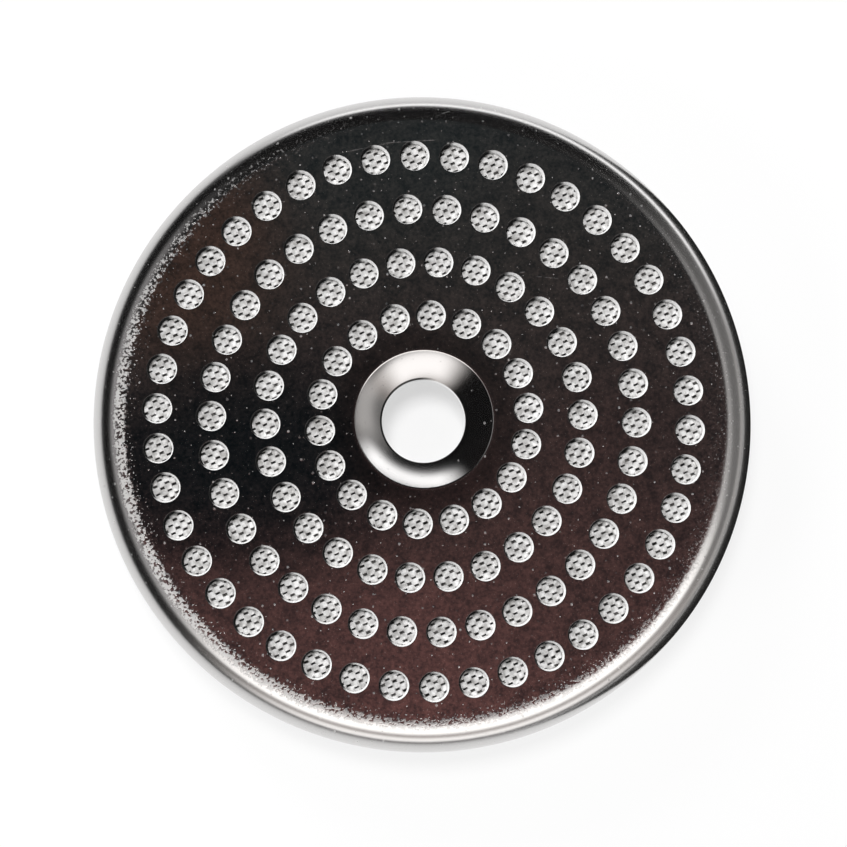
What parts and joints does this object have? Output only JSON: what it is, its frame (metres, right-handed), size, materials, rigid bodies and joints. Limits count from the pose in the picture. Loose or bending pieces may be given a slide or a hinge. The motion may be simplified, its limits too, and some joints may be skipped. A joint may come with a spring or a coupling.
{
  "type": "espresso shower screen",
  "caption": "Round perforated steel dish backed with woven wire mesh, fixed by one centre screw, that spreads hot water over coffee.",
  "frame": {"origin": "centre of the circle that the skirt's edge stands on", "axes": "+Z out of the perforated face, along the screw bore"},
  "size_m": [0.057, 0.057, 0.006],
  "materials": {
    "polished_steel": "mirror polished stainless steel",
    "woven_wire": "bright woven stainless wire"
  },
  "bodies": {
    "root": {"perforated_dish": "polished_steel", "filter_mesh": "woven_wire"}
  },
  "joints": []
}
